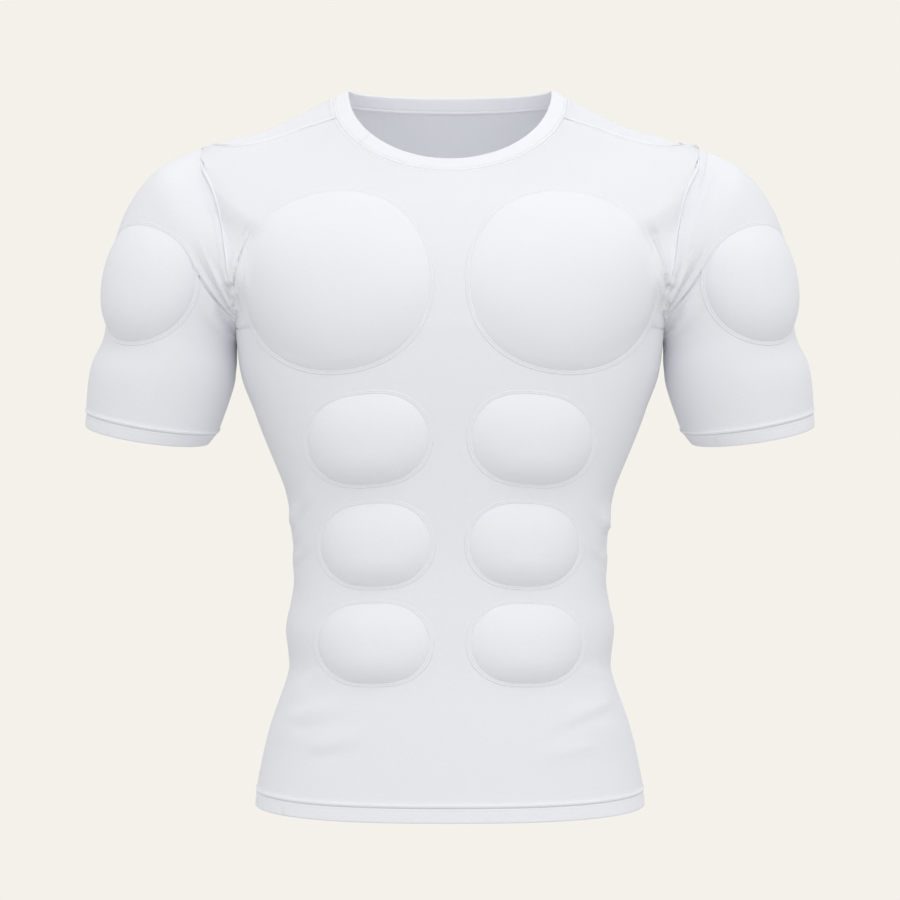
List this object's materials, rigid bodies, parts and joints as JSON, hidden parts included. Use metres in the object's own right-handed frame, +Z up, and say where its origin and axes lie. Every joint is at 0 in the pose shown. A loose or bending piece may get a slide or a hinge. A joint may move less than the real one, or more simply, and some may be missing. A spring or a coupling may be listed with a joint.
{
  "type": "padded compression shirt",
  "caption": "Close-fitting short-sleeved knit shirt in its worn shape, with a round neckband and domed foam pads sewn on the chest, abdomen and upper arms.",
  "frame": {"origin": "on the shirt's middle plane between the shoulders, in the neck opening, where the wearer carries the shirt", "axes": "+Z up, -Y to the shirt's front, +X to the wearer's left"},
  "size_m": [0.697, 0.2393, 0.6874],
  "materials": {
    "knit_cloth": "matt white stretch knit",
    "bound_edges": "matt white stretch knit, doubled",
    "padding": "matt white stretch knit over foam"
  },
  "bodies": {
    "root": {"front": "knit_cloth", "back": "knit_cloth", "sleeve_left": "knit_cloth", "sleeve_right": "knit_cloth", "neckband": "bound_edges", "hem_band": "bound_edges", "cuff_left": "bound_edges", "cuff_right": "bound_edges", "chest_pad_left": "padding", "chest_pad_right": "padding", "abdomen_pad_upper_left": "padding", "abdomen_pad_upper_right": "padding", "abdomen_pad_middle_left": "padding", "abdomen_pad_middle_right": "padding", "abdomen_pad_lower_left": "padding", "abdomen_pad_lower_right": "padding", "arm_pad_left": "padding", "arm_pad_right": "padding"}
  },
  "joints": []
}
